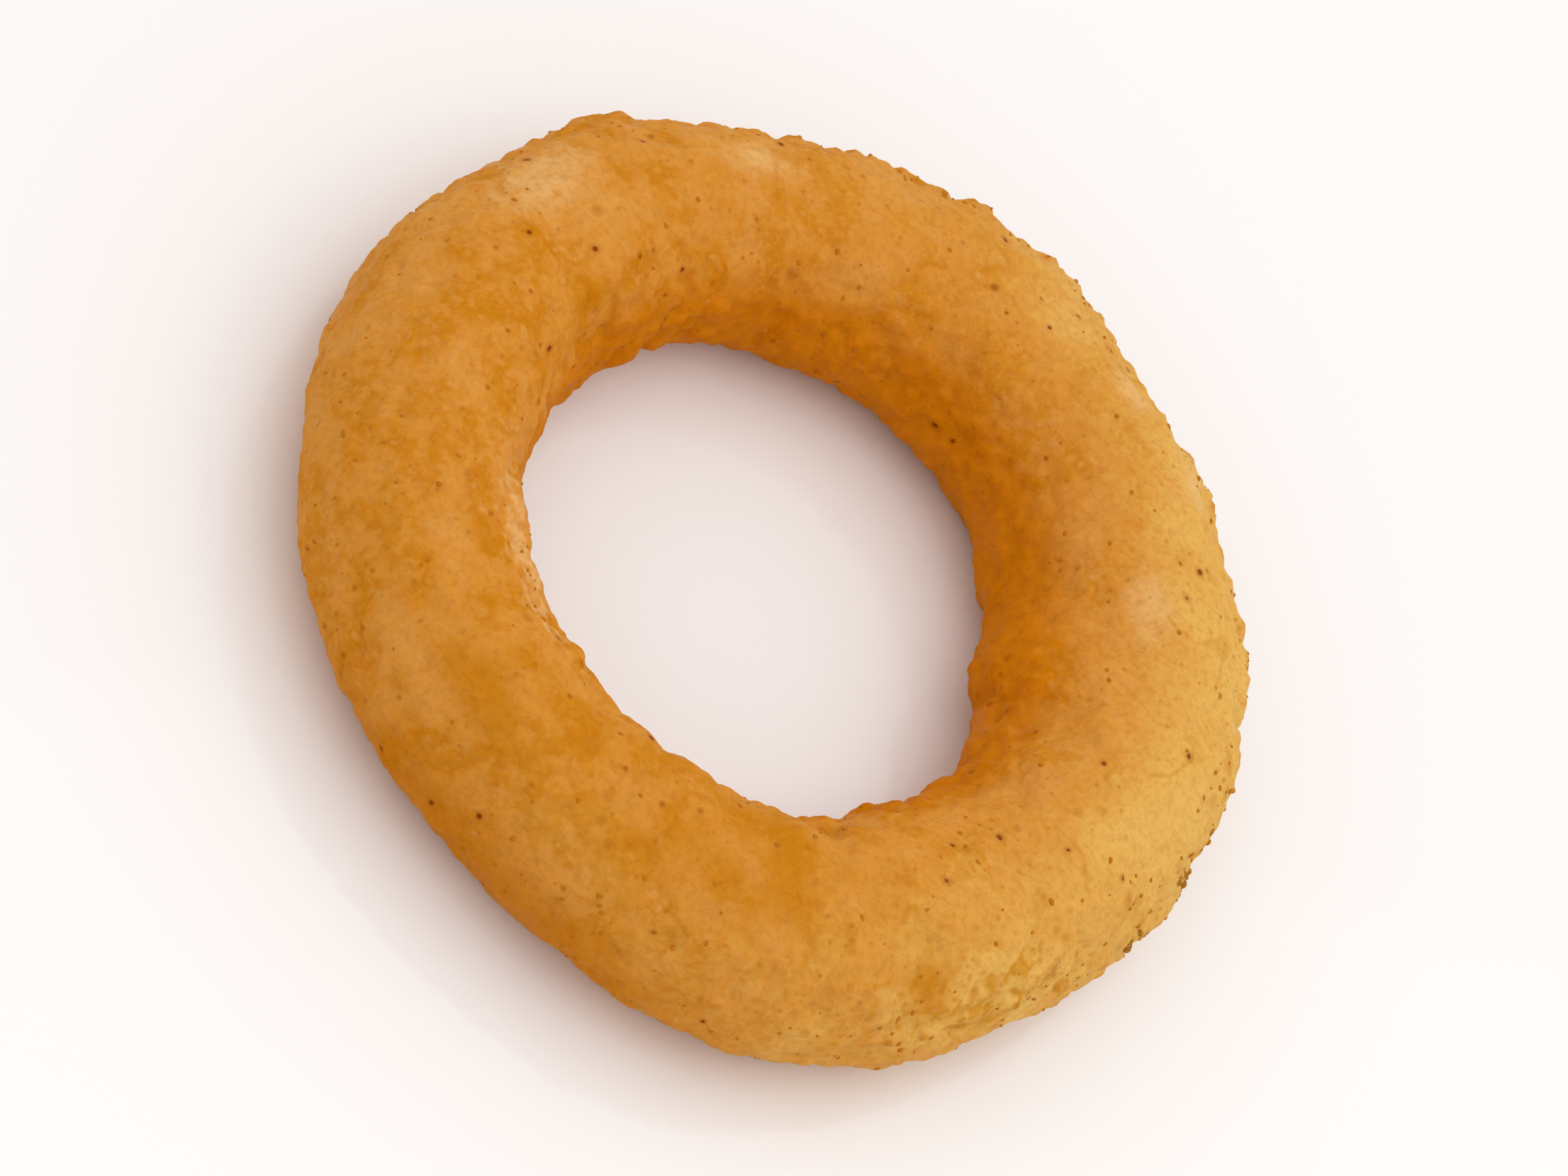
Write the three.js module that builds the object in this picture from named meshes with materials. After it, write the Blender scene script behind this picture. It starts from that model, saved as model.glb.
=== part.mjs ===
import * as THREE from 'three';
import { mergeVertices } from 'three/addons/utils/BufferGeometryUtils.js';

// One onion ring in fried batter, lying flat with its rounder side up.
// Millimetres, +Z up, origin on the surface that it lies on, under the middle of the ring.
// +X is the ring's long way, and -Y the side that is seen nearest.

// Driving dimensions
const OUTER_RADIUS = 36.2;
const HOLE_RADIUS = 19.4;
const HEIGHT = 14.1;
const SEAM_HEIGHT = 4.2; // the level of the widest part, where the coat ends in a blunt edge
const SEAM_TUCK = 0.6; // how far the underside steps in below that edge
const SECTION_SQUARENESS = 0.92; // under 1 the flanks stand steeper than on an ellipse
const FOOT_PRESS = 0.3; // depth of the underside that lies pressed flat on the surface

// Mesh steps round the ring and round its section
const STEPS_AROUND = 138;
const STEPS_SECTION = 42;

// The edges aren't true circles. Each wave lifts the radius by rise, towards one direction in
// degrees from +X, and again at every further lobe.
const OUTER_WAVES = [
  { lobes: 1, rise: 0.87, towards: 40 },
  { lobes: 2, rise: 0.3, towards: 42 },
  { lobes: 3, rise: 0.32, towards: -52 },
  { lobes: 4, rise: 0.26, towards: 31 },
  { lobes: 5, rise: 0.36, towards: 25 },
];
const HOLE_WAVES = [
  { lobes: 1, rise: 0.22, towards: 169 },
  { lobes: 2, rise: 0.79, towards: 89 },
  { lobes: 3, rise: 0.18, towards: -23 },
  { lobes: 5, rise: 0.25, towards: 7 },
  { lobes: 6, rise: 0.17, towards: 11 },
];
const CREST_WAVES = [
  { lobes: 2, rise: 0.35, towards: 20 },
  { lobes: 3, rise: 0.3, towards: 65 },
  { lobes: 7, rise: 0.12, towards: 10 },
];
const SEAM_WAVES = [
  { lobes: 2, rise: 0.45, towards: -30 },
  { lobes: 5, rise: 0.2, towards: 15 },
];

// Relief of the coat, from broad swells to small crags. A height under 0 makes a dent.
const RELIEF_SEED = 4080;
const RELIEF = [
  { count: 60, radius: [4.0, 7.0], height: [-0.4, 0.36] },
  { count: 170, radius: [1.8, 3.2], height: [-0.3, 0.36] },
  { count: 460, radius: [0.9, 1.5], height: [0.1, 0.42] },
];
// The flank where the coat caught most crumb, in degrees from +X, and how much rougher it is
const ROUGH_FLANK = { towards: -8, width: 42, gain: 1.5 };
// Single lumps and dents that shape the outline, in degrees round the ring and its section
const LANDMARKS = [
  { around: 96, section: 30, radius: 2.6, height: 0.35 }, // lump on the far rim
  { around: 106, section: 42, radius: 2.4, height: 0.4 }, // a second one
  { around: 79, section: 38, radius: 4.6, height: -0.2 }, // shallow dent in the far rim
  { around: 15, section: 175, radius: 2.2, height: 0.6 }, // lump on the hole's wall
  { around: -103, section: 155, radius: 2.0, height: 0.5 }, // flake on the hole's near lip
  { around: -139, section: 150, radius: 1.7, height: 0.5 }, // a second one
];

// Fineness of the working: the share of a half section over which the underside tucks in, the
// angle between the points that give a slope, how many of its radii a bump reaches, and how
// near two vertices of the plain ring count as one
const TUCK_EASE = 0.2;
const SLOPE_STEP = 0.02;
const BUMP_REACH = 3;
const MERGE_WITHIN = 1e-4;

const TURN = Math.PI * 2;
const radians = THREE.MathUtils.degToRad;

function wave(waves, around) {
  return waves.reduce(
    (sum, w) => sum + w.rise * Math.cos(w.lobes * (around - radians(w.towards))), 0);
}

function seededRandom(seed) {
  let state = seed;
  return () => {
    state = (state + 0x6d2b79f5) | 0;
    let mixed = Math.imul(state ^ (state >>> 15), 1 | state);
    mixed = (mixed + Math.imul(mixed ^ (mixed >>> 7), 61 | mixed)) ^ mixed;
    return ((mixed ^ (mixed >>> 14)) >>> 0) / 2 ** 32;
  };
}

// |value| to a power, with the sign kept, which squares off a circle's cosine and sine
function squared(value, power) {
  return Math.sign(value) * Math.abs(value) ** power;
}

// The smooth coat: around is the angle round the ring and section the angle round its section,
// 0 on the outer flank, a quarter turn on the crest and half a turn on the hole's wall.
function coatPoint(around, section) {
  const outer = OUTER_RADIUS + wave(OUTER_WAVES, around);
  const hole = HOLE_RADIUS + wave(HOLE_WAVES, around);
  const seam = SEAM_HEIGHT + wave(SEAM_WAVES, around);
  const crest = HEIGHT + wave(CREST_WAVES, around) - seam;
  const up = Math.sin(section);
  const tuck = SEAM_TUCK * THREE.MathUtils.smoothstep(-up, 0, TUCK_EASE);
  const half = (outer - hole) / 2 - tuck;
  const radius = (outer + hole) / 2 + half * squared(Math.cos(section), SECTION_SQUARENESS);
  const reach = up > 0 ? crest : seam + FOOT_PRESS;
  const height = seam + reach * squared(up, SECTION_SQUARENESS);
  return new THREE.Vector3(radius * Math.cos(around), radius * Math.sin(around), height);
}

function coatNormal(around, section) {
  const alongRing = coatPoint(around + SLOPE_STEP, section)
    .sub(coatPoint(around - SLOPE_STEP, section));
  const alongSection = coatPoint(around, section + SLOPE_STEP)
    .sub(coatPoint(around, section - SLOPE_STEP));
  return alongRing.cross(alongSection).normalize();
}

function roughness(around) {
  const away = Math.abs(THREE.MathUtils.euclideanModulo(
    around - radians(ROUGH_FLANK.towards) + Math.PI, TURN) - Math.PI);
  return 1 + (ROUGH_FLANK.gain - 1) * Math.exp(-((away / radians(ROUGH_FLANK.width)) ** 2));
}

// Swells, dents and crags, each a soft round bump at a place drawn by the seeded rule
function makeRelief() {
  const random = seededRandom(RELIEF_SEED);
  const between = ([low, high]) => low + (high - low) * random();
  const landmarks = LANDMARKS.map(({ around, section, radius, height }) => (
    { place: coatPoint(radians(around), radians(section)), radius, height }));
  const scatteredBump = ({ radius, height }) => {
    const around = random() * TURN;
    const section = random() * TURN;
    return {
      place: coatPoint(around, section),
      radius: between(radius),
      height: between(height) * roughness(around),
    };
  };
  const scattered = RELIEF.flatMap(
    (kind) => Array.from({ length: kind.count }, () => scatteredBump(kind)));
  return [...landmarks, ...scattered];
}

function reliefAt(point, bumps) {
  return bumps.reduce((sum, bump) => {
    const spread = point.distanceToSquared(bump.place) / bump.radius ** 2;
    return spread > BUMP_REACH ** 2 ? sum : sum + bump.height * Math.exp(-spread);
  }, 0);
}

// A torus whose vertices are moved out to the coat and its relief, and pressed flat underneath
function ringGeometry() {
  const torus = new THREE.TorusGeometry(1, 0.5, STEPS_SECTION, STEPS_AROUND);
  torus.deleteAttribute('normal');
  torus.deleteAttribute('uv');
  const ring = mergeVertices(torus, MERGE_WITHIN);
  const bumps = makeRelief();
  const place = new THREE.Vector3();
  const position = ring.getAttribute('position');
  for (let i = 0; i < position.count; i += 1) {
    place.fromBufferAttribute(position, i);
    const around = Math.atan2(place.y, place.x);
    const section = Math.atan2(place.z, Math.hypot(place.x, place.y) - 1);
    const point = coatPoint(around, section);
    point.addScaledVector(coatNormal(around, section), reliefAt(point, bumps));
    position.setXYZ(i, point.x, point.y, Math.max(point.z, 0));
  }
  ring.computeBoundingBox();
  const middle = ring.boundingBox.getCenter(new THREE.Vector3());
  ring.translate(-middle.x, -middle.y, 0);
  ring.computeVertexNormals();
  return ring;
}

function batterMaterial() {
  return new THREE.MeshStandardMaterial({ color: 0xd6923c, roughness: 0.5, metalness: 0 });
}

const ring = new THREE.Mesh(ringGeometry(), batterMaterial());
ring.name = 'onion_ring';

const group = new THREE.Group();
group.add(ring);

export default group;
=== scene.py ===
"""One fried onion ring on a pale floor, in metres, lying flat on z = 0 with its rounder side up.

+X is the ring's long way, and -Y the side that is seen nearest. Angles round the ring are in
degrees from +X, and angles round its section are 0 on the outer flank, 90 on the crest and
180 on the hole's wall.
"""

import math
from collections import namedtuple

import bpy
import numpy as np
from mathutils import Matrix, Vector


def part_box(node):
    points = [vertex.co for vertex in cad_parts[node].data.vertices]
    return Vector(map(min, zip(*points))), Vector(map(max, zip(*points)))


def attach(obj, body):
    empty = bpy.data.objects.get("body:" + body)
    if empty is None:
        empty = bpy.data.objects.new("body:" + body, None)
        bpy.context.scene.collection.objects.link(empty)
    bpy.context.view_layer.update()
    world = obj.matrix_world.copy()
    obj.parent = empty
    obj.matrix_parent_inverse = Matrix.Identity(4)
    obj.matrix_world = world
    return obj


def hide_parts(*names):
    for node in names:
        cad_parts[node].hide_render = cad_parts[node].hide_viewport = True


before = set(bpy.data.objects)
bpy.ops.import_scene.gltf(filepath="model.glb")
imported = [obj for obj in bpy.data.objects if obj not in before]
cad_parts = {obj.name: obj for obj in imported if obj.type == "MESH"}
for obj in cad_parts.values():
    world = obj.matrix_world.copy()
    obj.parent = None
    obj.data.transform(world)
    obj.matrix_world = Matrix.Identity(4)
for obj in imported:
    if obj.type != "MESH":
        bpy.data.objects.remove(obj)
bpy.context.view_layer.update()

MM = 0.001
NODE = "onion_ring"
BODY = "root"

# The ring, from the frame and from the sizes that the solid is driven by
LOW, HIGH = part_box(NODE)
OUTER_RADIUS = (HIGH.x - LOW.x) / 2
HOLE_RADIUS = 19.4 * MM
SEAM_HEIGHT = 4.2 * MM
MIDDLE_RADIUS = (OUTER_RADIUS + HOLE_RADIUS) / 2
THICKNESS = OUTER_RADIUS - HOLE_RADIUS
HEIGHT = HIGH.z

# Fineness of the coat's mesh: a torus takes 256 steps at most, so its faces are then halved
STEPS_AROUND = 256
STEPS_SECTION = 76
HALVINGS = 1
FIT_REACH = 5 * MM
FIT_SMOOTHING = 32
CRAG_SMOOTHING = 2
WEIGHT_STEPS = 200

# Relief that covers the coat: how large each pattern's marks are and how far they stand out
Pattern = namedtuple("Pattern", "size height")
SWELLS = Pattern(4.5 * MM, 0.35 * MM)
CRAGS = (Pattern(1.9 * MM, 1.1 * MM), Pattern(1.1 * MM, 0.8 * MM))
CRAG_LEVEL = 0.25
ROUGH_GRAIN = Pattern(0.7 * MM, 0.32 * MM)
FULL_RELIEF = 0.25 * MM

# Angles round the ring or round its section, in degrees, each with the width that it reaches
Reach = namedtuple("Reach", "middle width")
ROUGH_FLANK = Reach(4, 60)
# The pale side: partly less browned, and partly painted light that the white floor throws back on
# it
PALE_AND_FLOOR_LIT_SIDE = Reach(26, 81)
LOW_FLANK = Reach(24, 44)
HOLE_LIP = Reach(160, 40)

# How craggy each of those places makes the coat, out of 1
CRAGGY = {"everywhere": 0.16, "low_flank": 0.4, "rough_flank": 0.3, "hole_lip": 0.6,
          "far_rim": 0.7, "near_lip": 0.5}

# How squarely the coat faces a side where a colour or the loss of grit starts there, and where it
# is full: the hole's wall and the underside take painted shade, and the pale side partly painted
# floor light
WALL_FADE = (0.5, 0.97)
UNDERSIDE_FADE = (0.1, 0.8)
PALE_FADE = (-0.95, 0.55)
GRIT_FADE = (0.4, 0.8)

# Places on the coat: degrees round the ring and its section, each with its width, and a level
Spot = namedtuple("Spot", "around width section section_width level", defaults=(1.0,))
FAR_RIM = Spot(92, 62, 40, 17)
CRUMB_FLANK = Spot(11, 9, 16, 12)
# Painted shade: the near outer flank, which faces away from the light, is laid darker
SHADED_NEAR_FLANK = Spot(-88, 36, -2, 38)
NEAR_LIP = Spot(-121, 20, 110, 10)
DAPPLED = Spot(-27, 25, 38, 34)
# Painted sheen: soft pinkish-white highlight patches on the crest
SHEEN_SPOTS = (
    Spot(75, 5, 75, 12),
    Spot(40, 7, 104, 14),
    Spot(60, 4, 66, 10),
    Spot(176, 10, 68, 20),
    Spot(140, 7, 84, 12),
)
OCHRE_SPOTS = (
    Spot(-72, 38, 88, 36, level=0.7),
    Spot(-57, 3, 98, 18, level=0.9),
    Spot(-65, 9, 70, 11, level=0.4),
    Spot(-176, 6, 118, 9),
    Spot(-104, 9, 58, 14),
    Spot(-36, 3, 50, 14),
)

# Lumps that stand out by their level, and dents as deep as theirs
LUMPS = (
    Spot(-75, 6, 116, 22, 0.8 * MM),
    Spot(-87, 4, 116, 18, 0.5 * MM),
    Spot(-127, 6, 118, 18, 0.7 * MM),
    Spot(-118, 4, 118, 16, 0.4 * MM),
    Spot(-103, 3, 118, 16, 0.5 * MM),
    Spot(29, 13, 166, 40, 1.3 * MM),
    Spot(126, 10, 166, 36, 0.6 * MM),
    Spot(60, 9, 166, 36, 0.4 * MM),
    Spot(-35, 5, 335, 26, 0.9 * MM),
    Spot(62, 4, 40, 20, 1.0 * MM),
    Spot(84, 4, 40, 20, 0.5 * MM),
    Spot(93, 5, 42, 22, 0.8 * MM),
    Spot(105, 3, 42, 18, 0.6 * MM),
    Spot(119, 6, 40, 18, 0.9 * MM),
    Spot(158, 5, 28, 18, 0.8 * MM),
    Spot(25, 3, 8, 26, 0.4 * MM),
)
DENTS = (
    Spot(14, 4, 8, 26, 0.6 * MM),
    Spot(-22, 6, 350, 30, 0.6 * MM),
    Spot(174, 9, 10, 30, 0.9 * MM),
    Spot(-74, 5, 335, 30, 0.6 * MM),
    Spot(-49, 4, 120, 24, 0.6 * MM),
    Spot(-167, 11, 150, 30, 0.4 * MM),
    Spot(-139, 5, 332, 30, 0.4 * MM),
)

# Crumbs: how many, their radius, how brown they are, and the shape that all are copies of
SEED = 4080
GRIT = {"count": 600, "size": (0.1 * MM, 0.25 * MM), "shade": (0.0, 0.4)}
CRUMBS = {"count": 34, "size": (0.28 * MM, 0.46 * MM), "shade": (0.4, 1.0)}
GRIT_CLEARANCE = 1.0 * MM
HOLE_GRIT_LOSS = 0.85
CRUMB_SIDES = 8
CRUMB_RINGS = 5
CRUMB_LUMPS = Pattern(0.9, 0.7)
CRUMB_STRETCH = ((0.9, 1.3), (0.7, 1.0), (0.6, 0.9))
CRUMB_SUNK = 0.3


def srgb(red, green, blue):
    """A 0-255 screen colour as the linear colour that a shader takes."""
    def linear(level):
        level /= 255
        return level / 12.92 if level <= 0.04045 else ((level + 0.055) / 1.055) ** 2.4
    return (linear(red), linear(green), linear(blue), 1.0)


GOLDEN = srgb(212, 142, 54)
OCHRE = srgb(200, 123, 0)
PEACH = srgb(218, 155, 76)
# Pale yellow of the pale side, partly less browning and partly painted floor light
PALE = srgb(227, 178, 90)
STRAW = srgb(230, 183, 96)
MUSTARD = srgb(196, 122, 0)
# The colour of the painted sheen
SHEEN_PINK = srgb(232, 188, 124)
DAPPLE = srgb(200, 134, 16)
# Painted shade and bounce light of the hole: the darker, deeper orange laid on its wall
HOLE_SHADE_ORANGE = srgb(205, 121, 0)
CREAM = srgb(234, 184, 118)
BROWN = srgb(158, 80, 0)
CRUST = srgb(150, 106, 34)
SPECK = srgb(118, 48, 0)
# Darker tan, laid as painted shade on the underside and the near outer flank, and also the colour
# of wrinkles and crumbs
UNDERSIDE = srgb(190, 112, 0)
FLOOR = srgb(244, 241, 240)

# Noise in the batter, from the widest to the finest
Noise = namedtuple("Noise", "size detail roughness", defaults=(0.5,))
DRIFT = Noise(9 * MM, 1.0)
BLOTCH = Noise(3.4 * MM, 2.0)
MOTTLE = Noise(1.2 * MM, 2.0, 0.6)
STREAK = Noise(0.8 * MM, 1.0)
GRAIN = Noise(0.5 * MM, 3.0, 0.7)
CRUMB_GRAIN = Noise(0.25 * MM, 2.0)
NOISE_MIDDLE = 0.5
MOTTLE_DEPTH = 0.2 * MM
GRAIN_DEPTH = 0.09 * MM
CRUMB_GRAIN_DEPTH = 0.04 * MM

# Wrinkles run where the drift is at this level, give or take, and only where it is blotchy
WRINKLE_LEVEL = 0.47
WRINKLE_WIDTH = 0.03
WRINKLE_SHAKE = 0.05

# Round marks, one in each of a share of the cells that fill space
Marks = namedtuple("Marks", "cell radius share edge strength")
# Pits are only colour: their brown is partly browning and partly painted shade in them
PIT_BROWNING_AND_SHADE = Marks(cell=1.15 * MM, radius=0.34 * MM, share=0.6, edge=1.0, strength=0.45)
FRECKLES = Marks(cell=2.2 * MM, radius=0.52 * MM, share=0.6, edge=0.8, strength=0.8)

# Spice specks, with sizes in cells
SPECK_CELL = 3.0 * MM
SPECK_SHARE = (0.6, 0.58)
SPECK_LEAST = 0.06
SPECK_GROWTH = 0.055
SPECK_CORE = 0.6
SPECK_HALO = 2.2


# Building materials

class Wire:
    """One output socket. Python's own signs add Math nodes to it."""

    def __init__(self, shader, socket):
        self.shader = shader
        self.socket = socket

    def __getitem__(self, output):
        """Another output of the same node."""
        return Wire(self.shader, self.socket.node.outputs[output])

    def maths(self, operation, first, second):
        return self.shader.node("ShaderNodeMath", {"operation": operation}, {0: first, 1: second})

    def __add__(self, other):
        return self.maths("ADD", self, other)

    def __sub__(self, other):
        return self.maths("SUBTRACT", self, other)

    def __rsub__(self, other):
        return self.maths("SUBTRACT", other, self)

    def __mul__(self, other):
        return self.maths("MULTIPLY", self, other)

    __radd__ = __add__
    __rmul__ = __mul__

    def __abs__(self):
        return self.maths("ABSOLUTE", self, 0.0)

    def swing(self, reach):
        """Noise about its middle, so that it adds as much as it takes, over this reach."""
        return (self - NOISE_MIDDLE) * reach


class Shader:
    """A material and the one method that adds its nodes."""

    # Which sockets a Mix node has for its factor, its two colours and the colour it gives
    MIX_FACTOR, MIX_FIRST, MIX_SECOND, MIX_RESULT = 0, 6, 7, 2

    def __init__(self, name):
        self.material = bpy.data.materials.new(name)
        self.material.use_nodes = True
        self.tree = self.material.node_tree
        self.tree.nodes.clear()

    def node(self, kind, settings=None, sockets=None):
        made = self.tree.nodes.new(kind)
        for name, value in (settings or {}).items():
            setattr(made, name, value)
        for name, value in (sockets or {}).items():
            if isinstance(value, Wire):
                self.tree.links.new(value.socket, made.inputs[name])
            else:
                made.inputs[name].default_value = value
        return Wire(self, made.outputs[0]) if made.outputs else made

    def step(self, value, start, end):
        """0 at start and 1 at end, with a smooth way between. start may be the higher one."""
        return self.node("ShaderNodeMapRange", {"interpolation_type": "SMOOTHSTEP"},
                         {"Value": value, "From Min": start, "From Max": end})

    def mix(self, factor, plain, other):
        """The colour plain, turned to other as far as factor says."""
        mixed = self.node("ShaderNodeMix", {"data_type": "RGBA"}, {
            self.MIX_FACTOR: factor, self.MIX_FIRST: plain, self.MIX_SECOND: other})
        return mixed[self.MIX_RESULT]

    def lay(self, under, over, amount, start, end, strength):
        """The colour over on the colour under, from none at start to its strength at end."""
        return self.mix(self.step(amount, start, end) * strength, under, over)

    def object_place(self):
        return self.node("ShaderNodeTexCoord")["Object"]

    def attribute(self, name):
        return self.node("ShaderNodeAttribute", {"attribute_name": name})["Fac"]

    def noise(self, place, pattern):
        return self.node("ShaderNodeTexNoise", None, {
            "Vector": place, "Scale": 1 / pattern.size, "Detail": pattern.detail,
            "Roughness": pattern.roughness})["Fac"]

    def cells(self, place, size):
        """Distance to the nearest of scattered points, in cells, and two draws for that point."""
        cells = self.node("ShaderNodeTexVoronoi", None, {"Vector": place, "Scale": 1 / size})
        draws = self.node("ShaderNodeSeparateColor", None, {"Color": cells["Color"]})
        return cells["Distance"], draws["Red"], draws["Green"]

    def marks(self, place, kind):
        """Round marks that are from half of their radius to all of it."""
        near, size_draw, share_draw = self.cells(place, kind.cell)
        size = (size_draw * 0.5 + 0.5) * (kind.radius / kind.cell)
        chosen = self.step(share_draw, kind.share, kind.share * 0.97)
        return chosen * self.step(near, size, size * (1 - kind.edge))

    def bump(self, height):
        return self.node("ShaderNodeBump", None,
                         {"Strength": 1.0, "Distance": 1.0, "Height": height})

    def finish(self, **sockets):
        """Ends the material in a principled surface with these sockets."""
        names = {name.replace("_", " "): value for name, value in sockets.items()}
        surface = self.node("ShaderNodeBsdfPrincipled", None, names)
        self.node("ShaderNodeOutputMaterial", None, {"Surface": surface})
        return self.material


def fried_batter():
    """Golden batter with ochre mottling, pale patches, wrinkles, pits, freckles and specks; the
    hole's wall and the underside carry painted shade, the pits' brown is partly painted shade,
    the pale side is partly painted floor light, and some pale patches are painted sheen.
    """
    s = Shader("fried_batter")
    place = s.object_place()
    wall, painted_low_shade, pale_and_floor_lit_side, dappled, cream, painted_sheen, ochre, relief = (
        s.attribute(name) for name in (
            "wall", "painted_low_shade", "pale_and_floor_lit_side", "dappled", "cream", "painted_sheen", "ochre", "relief"))
    drift, blotch, mottle, streak, grain = (
        s.noise(place, pattern) for pattern in (DRIFT, BLOTCH, MOTTLE, STREAK, GRAIN))

    # Each colour lies where its amount goes from the first number to the second, and then as
    # far as the third says
    colour = GOLDEN
    for over, amount, start, end, strength in (
            (OCHRE, blotch + mottle.swing(1.0), 0.33, 0.7, 1.0),
            (PEACH, 0.5 - drift.swing(1.0) + mottle.swing(0.9), 0.5, 0.72, 0.65),
            # The pale side: partly less browning, partly painted floor light
            (PALE, pale_and_floor_lit_side + blotch.swing(0.9) + drift.swing(0.9) + streak.swing(0.4),
             0.0, 1.15, 0.95),
            (STRAW, dappled + blotch.swing(1.8) + mottle.swing(1.1), 0.25, 1.3, 0.75),
            (DAPPLE, dappled + streak.swing(2.2) - blotch.swing(1.4), 0.6, 1.4, 0.8),
            (MUSTARD, ochre + blotch.swing(1.1) + mottle.swing(1.1), 0.1, 1.2, 0.8),
            # Painted sheen: soft pinkish highlight patches
            (SHEEN_PINK, painted_sheen + mottle.swing(0.7), 0.2, 1.2, 0.6),
            # Painted shade in the hole: its wall is laid over with a darker, deeper orange
            (HOLE_SHADE_ORANGE, wall + mottle.swing(0.6), 0.1, 1.0, 0.92),
            # Painted shade on the underside and the near outer flank, which face away from the
            # light
            (UNDERSIDE, painted_low_shade + blotch.swing(0.6), 0.2, 1.0, 0.85),
            (CREAM, cream + streak.swing(1.5) + mottle.swing(0.8), 0.3, 1.1, 0.7),
            (BROWN, grain, 0.4, 0.75, 0.26)):
        colour = s.lay(colour, over, amount, start, end, strength)

    away = abs(drift - WRINKLE_LEVEL + streak.swing(WRINKLE_SHAKE))
    wrinkle = s.step(away, WRINKLE_WIDTH, 0.0) * s.step(blotch, 0.48, 0.56)
    colour = s.mix(wrinkle * 0.35, colour, UNDERSIDE)
    colour = s.lay(colour, BROWN, relief, 0.3, 1.0, 0.3)

    # Pits: partly browning, partly painted shade, with no dent in the relief
    colour = s.mix(s.marks(place, PIT_BROWNING_AND_SHADE) * PIT_BROWNING_AND_SHADE.strength, colour, BROWN)
    freckled = s.step(drift, 0.32, 0.54)
    colour = s.mix(s.marks(place, FRECKLES) * freckled * FRECKLES.strength, colour, BROWN)

    near, size_draw, share_draw = s.cells(place, SPECK_CELL)
    size = size_draw * SPECK_GROWTH + SPECK_LEAST
    chosen = s.step(share_draw, *SPECK_SHARE)
    halo = chosen * s.step(near, size * SPECK_HALO, size)
    speck = chosen * s.step(near, size, size * SPECK_CORE)
    colour = s.mix(halo * 0.3, colour, BROWN)
    colour = s.mix(speck * 0.85, colour, SPECK)

    roughness = 0.5 + blotch.swing(0.3) + relief * 0.1
    oil = s.step(drift + mottle.swing(0.4), 0.5, 0.68) * 0.12
    return s.finish(Base_Color=colour, Roughness=roughness,
                    Normal=s.bump(grain * GRAIN_DEPTH + mottle * MOTTLE_DEPTH), IOR=1.4,
                    Specular_IOR_Level=0.03, Subsurface_Weight=0.25,
                    Subsurface_Radius=(1.0, 0.4, 0.1), Subsurface_Scale=2.5 * MM,
                    Coat_Weight=oil, Coat_Roughness=0.3)


def browned_crumb():
    """Crumbs stuck in the coat, from ochre to brown by their shade."""
    s = Shader("browned_crumb")
    grain = s.noise(s.object_place(), CRUMB_GRAIN)
    colour = s.mix(s.attribute("shade"), UNDERSIDE, CRUST)
    colour = s.lay(colour, GOLDEN, grain, 0.4, 0.7, 0.3)
    return s.finish(Base_Color=colour, Roughness=0.55, Normal=s.bump(grain * CRUMB_GRAIN_DEPTH),
                    IOR=1.4, Specular_IOR_Level=0.06)


def pale_gloss():
    """The floor's smooth pale surface."""
    return Shader("pale_gloss").finish(Base_Color=FLOOR, Roughness=0.3, IOR=1.45,
                                       Coat_Weight=0.5, Coat_Roughness=0.05)


# Shaping meshes

def apply_modifier(piece, kind, **settings):
    modifier = piece.modifiers.new(kind.lower(), kind)
    for name, value in settings.items():
        setattr(modifier, name, value)
    bpy.context.view_layer.objects.active = piece
    bpy.ops.object.modifier_apply(modifier=modifier.name)


def texture(name, kind, size, **settings):
    made = bpy.data.textures.new(name, kind)
    made.noise_scale = size
    for setting, value in settings.items():
        setattr(made, setting, value)
    return made


def displace(piece, made, height, level=0.5, group=""):
    """Moves the surface by a texture: up where it is over the level, down where it is under."""
    apply_modifier(piece, "DISPLACE", texture=made, texture_coords="LOCAL", strength=height,
                   mid_level=level, vertex_group=group)


def relax(piece, rounds):
    apply_modifier(piece, "SMOOTH", factor=0.5, iterations=rounds)


def rows(items, name):
    """A vector of every item, as an array of rows."""
    flat = np.empty(len(items) * 3, dtype=np.float32)
    items.foreach_get(name, flat)
    return flat.reshape(-1, 3).astype(float)


def vertices(piece):
    return rows(piece.data.vertices, "co")


def normals(piece):
    return rows(piece.data.vertex_normals, "vector")


def store(piece, name, values):
    """One value for each vertex, for a material to read."""
    layer = piece.data.attributes.new(name, "FLOAT", "POINT")
    layer.data.foreach_set("value", np.asarray(values, dtype=np.float32))


def weigh(piece, name, weights):
    """A vertex group whose weights are these, from 0 to 1."""
    group = piece.vertex_groups.new(name=name)
    levels = np.rint(np.clip(weights, 0, 1) * WEIGHT_STEPS).astype(int)
    for level in range(1, WEIGHT_STEPS + 1):
        group.add(np.flatnonzero(levels == level).tolist(), level / WEIGHT_STEPS, "REPLACE")


# Places on the coat

def places(points):
    """Degrees round the ring and round its section, for each point."""
    around = np.degrees(np.arctan2(points[:, 1], points[:, 0]))
    radius = np.hypot(points[:, 0], points[:, 1])
    section = np.degrees(np.arctan2(points[:, 2] - SEAM_HEIGHT, radius - MIDDLE_RADIUS))
    return around, section % 360


def smooth(value, start, end):
    """0 at start and 1 at end, with a smooth way between."""
    share = np.clip((value - start) / (end - start), 0, 1)
    return share * share * (3 - 2 * share)


def lobe(angle, middle, width):
    """1 at the middle, in degrees, falling off over width on both sides."""
    away = (angle - middle + 180) % 360 - 180
    return np.exp(-(away / width) ** 2)


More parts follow.
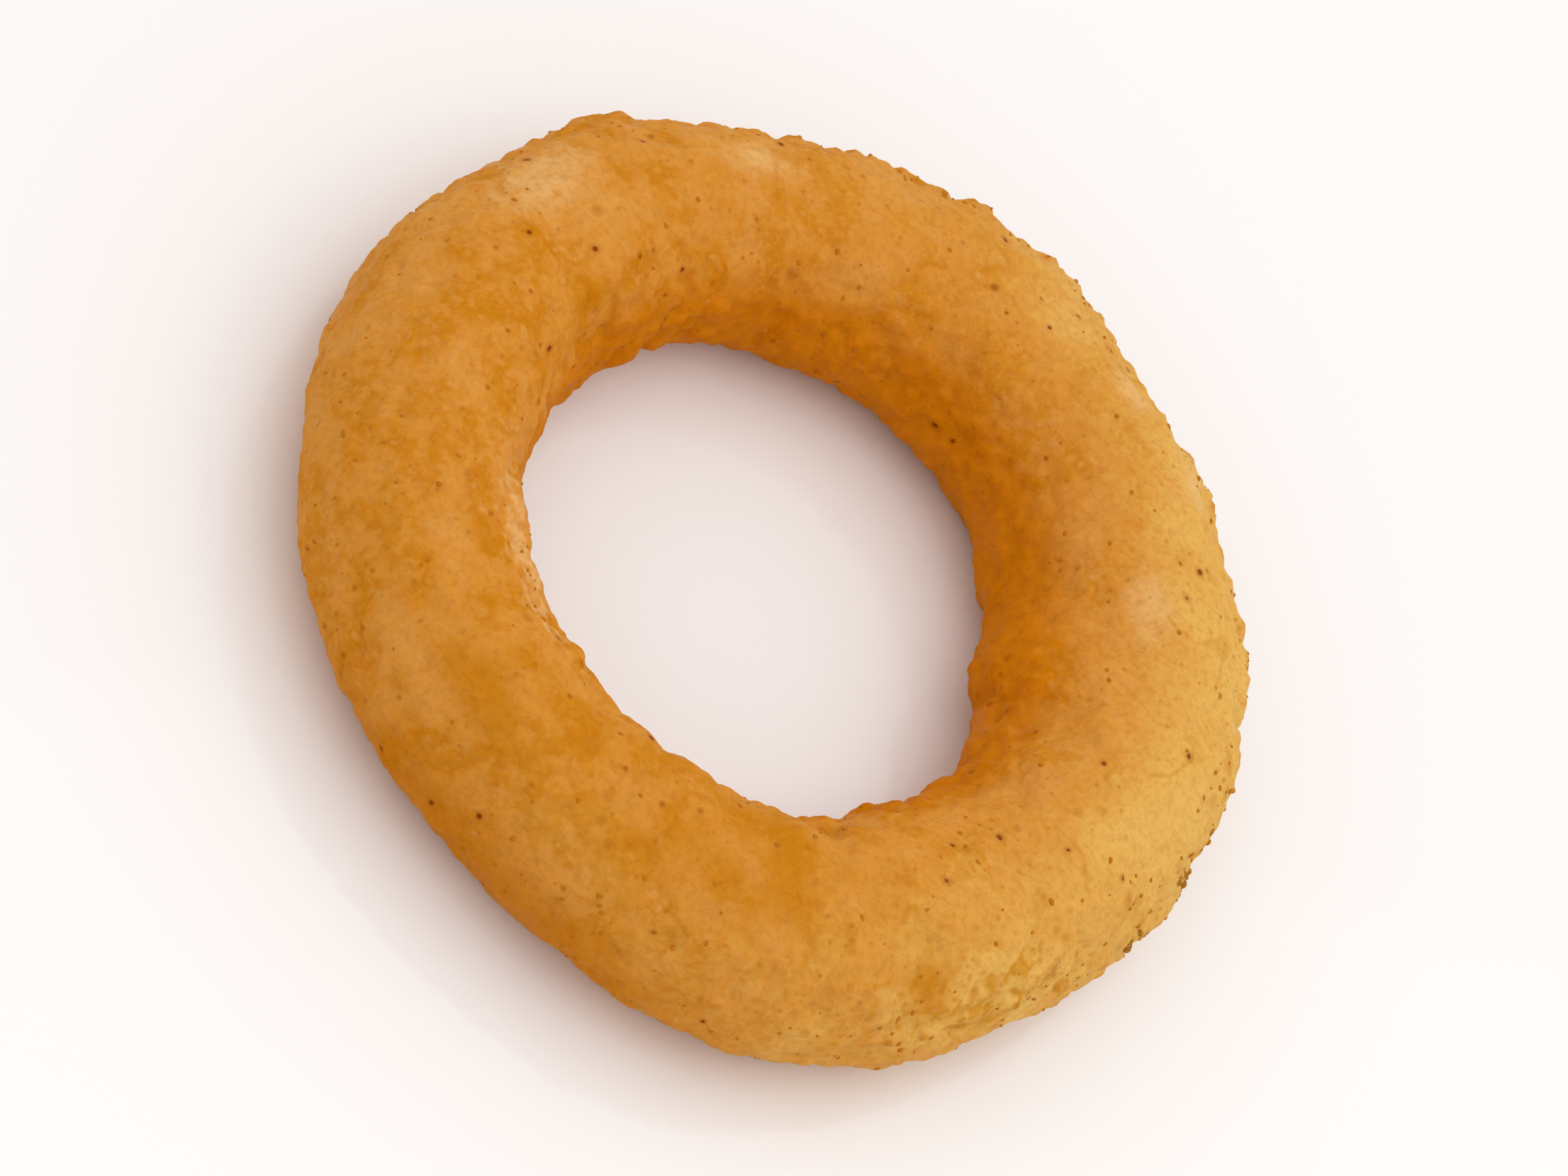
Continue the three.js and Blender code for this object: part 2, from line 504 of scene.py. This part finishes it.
def patch(angles, spot):
    """1 at the middle of a place on the coat, falling off round it. angles is from places."""
    around, section = angles
    share = lobe(around, spot.around, spot.width)
    return share * lobe(section, spot.section, spot.section_width)


def patches(angles, spots):
    """Several places together, each as strong as its level says."""
    return sum(patch(angles, spot) * spot.level for spot in spots)


def inward(section):
    """1 where the section faces the hole and -1 where it faces out."""
    return -np.cos(np.radians(section))


def downward(section):
    """1 on the underside and -1 on the crest."""
    return -np.sin(np.radians(section))


def craggy_share(angles):
    """How craggy the coat is: most on one flank, on the low flanks and at the hole."""
    around, section = angles
    flank = lobe(section, *LOW_FLANK) * (
        CRAGGY["low_flank"] + CRAGGY["rough_flank"] * lobe(around, *ROUGH_FLANK))
    rims = (CRAGGY["hole_lip"] * lobe(section, *HOLE_LIP)
            + CRAGGY["far_rim"] * patch(angles, FAR_RIM)
            + CRAGGY["near_lip"] * patch(angles, NEAR_LIP))
    return CRAGGY["everywhere"] + flank + rims


# The coat

def smooth_coat():
    """A torus drawn onto the solid."""
    bpy.ops.object.select_all(action="DESELECT")
    bpy.ops.mesh.primitive_torus_add(
        major_segments=STEPS_AROUND, minor_segments=STEPS_SECTION,
        major_radius=MIDDLE_RADIUS, minor_radius=THICKNESS / 2, location=(0, 0, HEIGHT / 2))
    piece = bpy.context.object
    piece.name = piece.data.name = "battered_ring"
    bpy.ops.object.transform_apply(location=True, rotation=True, scale=True)
    bpy.ops.object.mode_set(mode="EDIT")
    bpy.ops.mesh.select_all(action="SELECT")
    bpy.ops.transform.resize(value=(1, 1, HEIGHT / THICKNESS), center_override=(0, 0, HEIGHT / 2))
    bpy.ops.object.mode_set(mode="OBJECT")
    apply_modifier(piece, "SUBSURF", subdivision_type="SIMPLE", levels=HALVINGS,
                   render_levels=HALVINGS)
    apply_modifier(piece, "SHRINKWRAP", target=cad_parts[NODE], wrap_method="PROJECT",
                   use_negative_direction=True, use_positive_direction=True,
                   project_limit=FIT_REACH)
    relax(piece, FIT_SMOOTHING)
    return piece


def roughen(piece, angles):
    """Adds the lumps, dents, swells and crags, and gives how far the crags stand out."""
    weigh(piece, "craggy", craggy_share(angles))
    for name, spots, way in (("lumps", LUMPS, 1), ("dents", DENTS, -1)):
        heights = patches(angles, spots)
        weigh(piece, name, heights / heights.max())
        apply_modifier(piece, "DISPLACE", strength=way * heights.max(), mid_level=0,
                       vertex_group=name)
    displace(piece, texture("swells", "CLOUDS", SWELLS.size, noise_depth=1), SWELLS.height)
    swollen = vertices(piece)
    for pattern in CRAGS:
        crags = texture("crags", "VORONOI", pattern.size, distance_metric="DISTANCE_SQUARED")
        displace(piece, crags, -pattern.height, CRAG_LEVEL, "craggy")
    grain = texture("grain", "CLOUDS", ROUGH_GRAIN.size, noise_depth=1)
    displace(piece, grain, ROUGH_GRAIN.height, group="craggy")
    relax(piece, CRAG_SMOOTHING)
    raised = np.einsum("ij,ij->i", vertices(piece) - swollen, normals(piece))
    piece.vertex_groups.clear()
    return raised


def flatten_foot(piece):
    """Presses flat what reaches below the surface that the ring lies on."""
    below = vertices(piece)[:, 2] < 0
    bpy.ops.object.mode_set(mode="EDIT")
    bpy.ops.mesh.select_mode(type="VERT")
    bpy.ops.mesh.select_all(action="DESELECT")
    bpy.ops.object.mode_set(mode="OBJECT")
    piece.data.vertices.foreach_set("select", below)
    bpy.ops.object.mode_set(mode="EDIT")
    bpy.ops.transform.resize(value=(1, 1, 0), center_override=(0, 0, 0))
    bpy.ops.object.mode_set(mode="OBJECT")


def store_marks(piece, angles, raised):
    """Stores where each colour and the relief lie on the coat, for fried_batter to read: painted
    shade on the hole's wall and the underside, painted floor light on the pale side and painted
    sheen among them.
    """
    around, section = angles
    underside = smooth(downward(section), *UNDERSIDE_FADE)
    marks = {
        "relief": np.clip(raised / FULL_RELIEF, 0, 1),
        # The hole's wall, for its painted shade
        "wall": smooth(inward(section), *WALL_FADE),
        # Painted shade on the underside and the near outer flank
        "painted_low_shade": np.maximum(underside, patch(angles, SHADED_NEAR_FLANK)),
        # The pale side, partly painted floor light
        "pale_and_floor_lit_side": lobe(around, *PALE_AND_FLOOR_LIT_SIDE) * smooth(-inward(section), *PALE_FADE),
        "dappled": patch(angles, DAPPLED),
        # Painted sheen
        "cream": patch(angles, NEAR_LIP),
        "painted_sheen": patches(angles, SHEEN_SPOTS),
        "ochre": patches(angles, OCHRE_SPOTS),
    }
    for name, values in marks.items():
        store(piece, name, values)


def battered_ring():
    """The coat of batter, which takes the place of the plain solid."""
    piece = smooth_coat()
    angles = places(vertices(piece))
    raised = roughen(piece, angles)
    flatten_foot(piece)
    store_marks(piece, angles, raised)
    bpy.ops.object.shade_smooth()
    piece.data.materials.append(fried_batter())
    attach(piece, BODY)
    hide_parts(NODE)
    return piece


# The crumbs

def crumb_shape():
    """One lumpy crumb of radius 1, as arrays of its vertices and faces."""
    bpy.ops.object.select_all(action="DESELECT")
    bpy.ops.mesh.primitive_uv_sphere_add(segments=CRUMB_SIDES, ring_count=CRUMB_RINGS, radius=1)
    pattern = bpy.context.object
    lumps = texture("lumps", "CLOUDS", CRUMB_LUMPS.size, noise_depth=1)
    displace(pattern, lumps, CRUMB_LUMPS.height)
    points = vertices(pattern)
    faces = [list(face.vertices) for face in pattern.data.polygons]
    bpy.data.objects.remove(pattern, do_unlink=True)
    return points, faces


def stuck_crumb(draw, points, spot, up, sizes):
    """The points of a crumb that is stretched, turned and sunk in the coat at a spot."""
    spin = Matrix.Rotation(draw.uniform(0, math.tau), 3, "Z")
    turn = Vector(up).to_track_quat("Z", "Y").to_matrix() @ spin
    size = draw.uniform(*sizes) * np.array([draw.uniform(*reach) for reach in CRUMB_STRETCH])
    return (points * size) @ np.array(turn).T + spot - up * size[2] * CRUMB_SUNK


def coat_crumbs(coat):
    """Grit sunk in the coat where it is craggy, and larger browned crumbs on one flank."""
    draw = np.random.default_rng(SEED)
    points, faces = crumb_shape()
    spots, up = vertices(coat), normals(coat)
    angles = places(spots)
    in_hole = smooth(inward(angles[1]), *GRIT_FADE)
    clear = spots[:, 2] > GRIT_CLEARANCE
    gritty = craggy_share(angles) ** 2 * clear * (1 - HOLE_GRIT_LOSS * in_hole)
    crumbed = patch(angles, CRUMB_FLANK)
    all_points, all_faces, shades = [], [], []
    for kind, share in ((GRIT, gritty), (CRUMBS, crumbed)):
        for index in draw.choice(len(spots), kind["count"], replace=False, p=share / share.sum()):
            first = len(all_points) * len(points)
            all_faces += [[corner + first for corner in face] for face in faces]
            all_points.append(stuck_crumb(draw, points, spots[index], up[index], kind["size"]))
            shades.append(np.full(len(points), draw.uniform(*kind["shade"])))
    mesh = bpy.data.meshes.new("coat_crumbs")
    mesh.from_pydata(np.concatenate(all_points).tolist(), [], all_faces)
    piece = bpy.data.objects.new("coat_crumbs", mesh)
    bpy.context.scene.collection.objects.link(piece)
    store(piece, "shade", np.concatenate(shades))
    mesh.shade_smooth()
    mesh.materials.append(browned_crumb())
    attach(piece, BODY)
    return piece


# The stage: a pale glossy floor, one big soft light and a camera like the photograph's

FLOOR_SIZE = 4.0
FLOOR_DROP = 0.05 * MM
LIGHT_FROM = Vector((0.3, 0.25, 0.92))
LIGHT_DISTANCE = 1.1
LIGHT_SIZE = 1.2
LIGHT_POWER = 2.2
SKY_COLOUR = (1.0, 0.99, 0.98, 1.0)
SKY_STRENGTH = 0.97
CAMERA_ELEVATION = 50
CAMERA_ROLL = 47
CAMERA_DISTANCE = 0.6
CAMERA_LENS = 197
CAMERA_NEAR = 0.01
CAMERA_AIM = Vector((0.001, -0.001, 0.0065))


def facing(direction):
    """The turn that points a light's or a camera's back in this direction."""
    return direction.to_track_quat("Z", "Y").to_matrix().to_4x4()


def add_floor():
    bpy.ops.object.select_all(action="DESELECT")
    bpy.ops.mesh.primitive_plane_add(size=FLOOR_SIZE, location=(0, 0, -FLOOR_DROP))
    floor = bpy.context.object
    floor.name = "floor"
    floor.data.materials.append(pale_gloss())


def add_light():
    data = bpy.data.lights.new("softbox", "AREA")
    data.shape = "DISK"
    data.size = LIGHT_SIZE
    data.energy = LIGHT_POWER
    light = bpy.data.objects.new("softbox", data)
    bpy.context.scene.collection.objects.link(light)
    place = Matrix.Translation(LIGHT_FROM.normalized() * LIGHT_DISTANCE)
    light.matrix_world = place @ facing(LIGHT_FROM)


def add_sky():
    world = bpy.data.worlds.new("studio")
    world.use_nodes = True
    background = world.node_tree.nodes["Background"]
    background.inputs["Color"].default_value = SKY_COLOUR
    background.inputs["Strength"].default_value = SKY_STRENGTH
    bpy.context.scene.world = world


def add_camera():
    data = bpy.data.cameras.new("camera")
    data.lens = CAMERA_LENS
    data.clip_start = CAMERA_NEAR
    camera = bpy.data.objects.new("camera", data)
    bpy.context.scene.collection.objects.link(camera)
    elevation = math.radians(CAMERA_ELEVATION)
    back = Vector((0, -math.cos(elevation), math.sin(elevation)))
    roll = Matrix.Rotation(math.radians(CAMERA_ROLL), 4, "Z")
    place = Matrix.Translation(CAMERA_AIM + back * CAMERA_DISTANCE)
    camera.matrix_world = place @ facing(back) @ roll
    bpy.context.scene.camera = camera


bpy.ops.object.select_all(action="DESELECT")
add_camera()
add_light()
add_sky()
add_floor()
coat_crumbs(battered_ring())
bpy.context.scene.view_settings.view_transform = "Standard"
